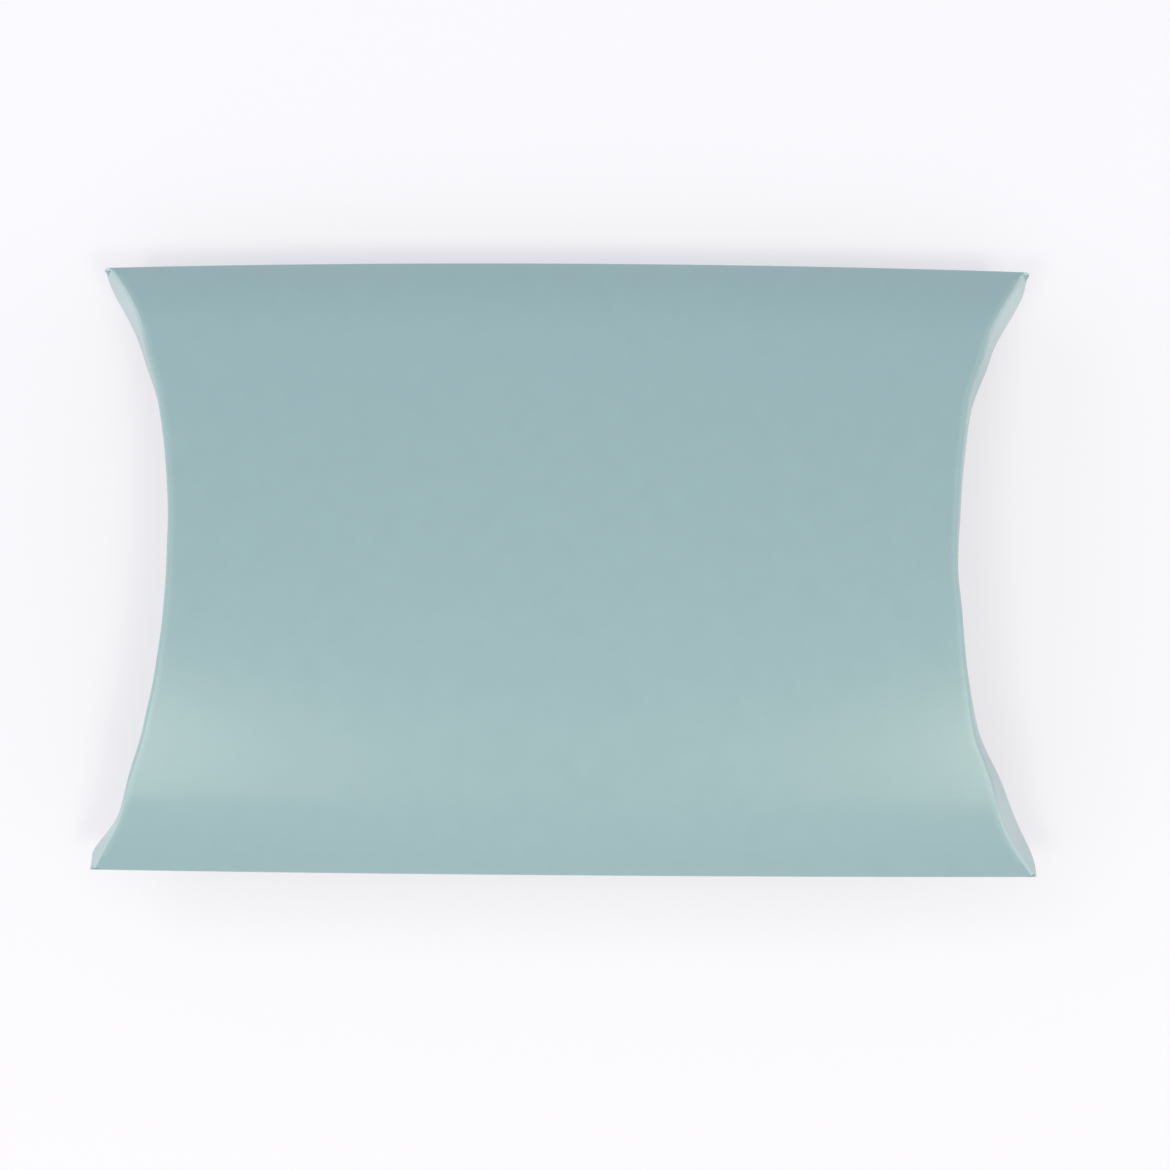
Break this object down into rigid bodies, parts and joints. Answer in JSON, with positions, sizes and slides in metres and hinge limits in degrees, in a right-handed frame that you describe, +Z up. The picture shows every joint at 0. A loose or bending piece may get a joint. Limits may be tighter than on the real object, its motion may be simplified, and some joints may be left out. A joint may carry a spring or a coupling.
{
  "type": "pillow box",
  "caption": "Folded card pillow box with arched panels, curved end creases and tuck-in end flaps, for a small flat gift or keepsake.",
  "frame": {"origin": "on the surface the box rests on, under the middle of the box", "axes": "+X along the side folds, from the left end to the right; +Y across the box, from the front fold to the rear one with the glued seam; +Z up"},
  "size_m": [0.14, 0.0917, 0.021],
  "materials": {
    "card": "pale teal, smooth uncoated folding card",
    "glue": "dried white glue"
  },
  "bodies": {
    "shell": {"top_panel": "card", "bottom_panel": "card", "front_fold": "card", "rear_fold": "card", "glue_tab": "card", "glue_line": "glue"},
    "left_outer_flap": {"left_outer_flap": "card"},
    "left_inner_flap": {"left_inner_flap": "card"},
    "right_outer_flap": {"right_outer_flap": "card"},
    "right_inner_flap": {"right_inner_flap": "card"}
  },
  "joints": [
    {"name": "left_outer_crease", "type": "hinge", "parent": "shell", "child": "left_outer_flap", "pos_m": [-0.0574, 0, 0.021], "axis": [0, 1, 0], "range_deg": [0, 110]},
    {"name": "left_inner_crease", "type": "hinge", "parent": "shell", "child": "left_inner_flap", "pos_m": [-0.0574, 0, -0.0001], "axis": [0, -1, 0], "range_deg": [0, 75]},
    {"name": "right_outer_crease", "type": "hinge", "parent": "shell", "child": "right_outer_flap", "pos_m": [0.0574, 0, 0.021], "axis": [0, -1, 0], "range_deg": [0, 110]},
    {"name": "right_inner_crease", "type": "hinge", "parent": "shell", "child": "right_inner_flap", "pos_m": [0.0574, 0, -0.0001], "axis": [0, 1, 0], "range_deg": [0, 75]}
  ],
  "couplings": [
    {"joint": "left_inner_crease", "follows": "left_outer_crease", "ratio": 0.68},
    {"joint": "right_inner_crease", "follows": "right_outer_crease", "ratio": 0.68}
  ]
}
